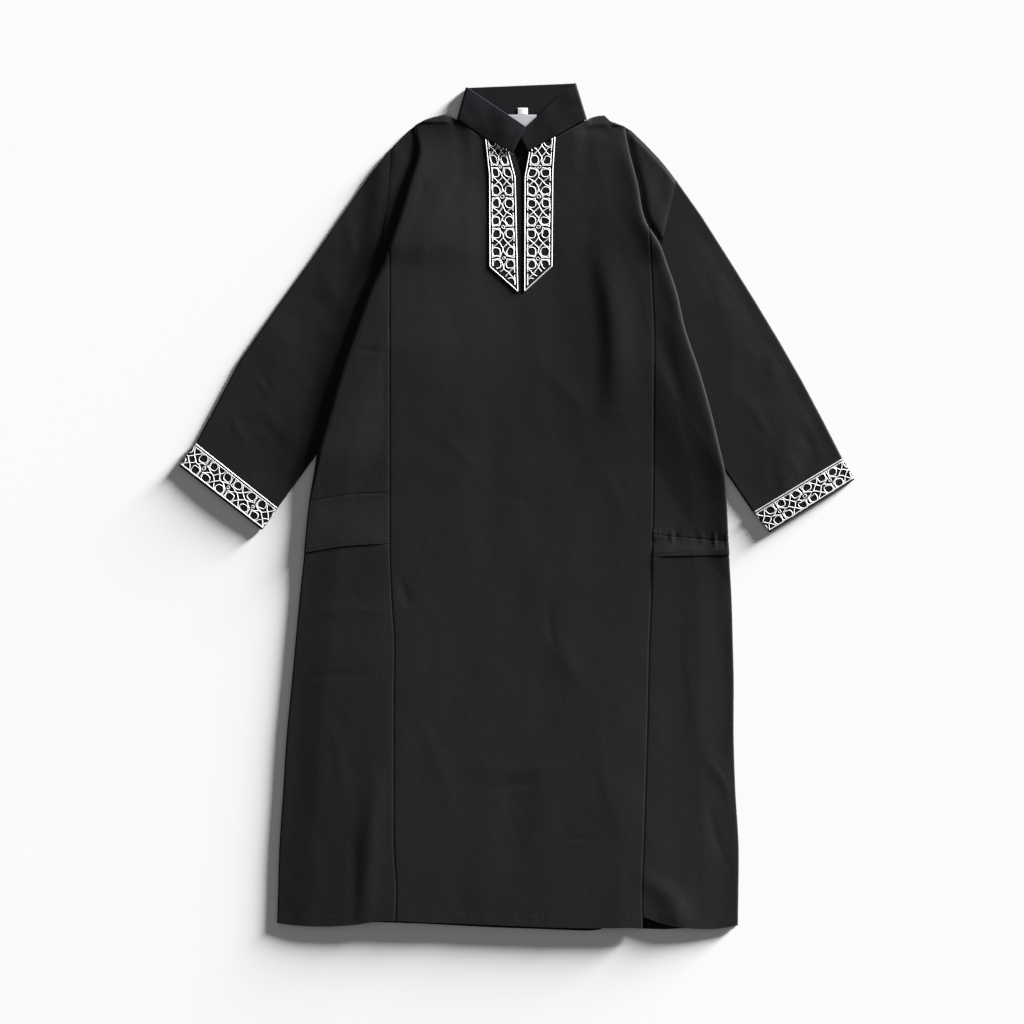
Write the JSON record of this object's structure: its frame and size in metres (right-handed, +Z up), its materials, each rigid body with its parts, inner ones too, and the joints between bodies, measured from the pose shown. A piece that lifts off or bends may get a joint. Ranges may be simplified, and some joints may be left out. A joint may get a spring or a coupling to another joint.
{
  "type": "jilbab laid flat",
  "caption": "Long black robe with stand collar, long sleeves and white lattice embroidery at the neck slit and cuffs, laid flat.",
  "frame": {"origin": "middle of the robe's box, on the surface it lies on", "axes": "+Z up off the surface, +Y from hem to collar, +X to the viewer's right, which is the wearer's left"},
  "size_m": [1.148, 1.4392, 0.014],
  "materials": {
    "robe_cloth": "matte black plain-woven cloth",
    "collar_cloth": "matte black cloth stiffened with interlining",
    "embroidered_band": "white thread lattice embroidered on black cloth",
    "label_satin": "silver-grey woven satin, bare",
    "tab_tape": "white woven tape, bare"
  },
  "bodies": {
    "root": {"back": "robe_cloth", "front_centre": "robe_cloth", "side_upper_left": "robe_cloth", "pocket_band_left": "robe_cloth", "side_lower_left": "robe_cloth", "side_upper_right": "robe_cloth", "pocket_band_right": "robe_cloth", "side_lower_right": "robe_cloth", "sleeve_left": "robe_cloth", "cuff_left": "embroidered_band", "sleeve_right": "robe_cloth", "cuff_right": "embroidered_band", "collar": "collar_cloth", "trim_left": "embroidered_band", "trim_right": "embroidered_band", "placket": "robe_cloth", "label": "label_satin", "size_tab": "tab_tape"}
  },
  "joints": []
}
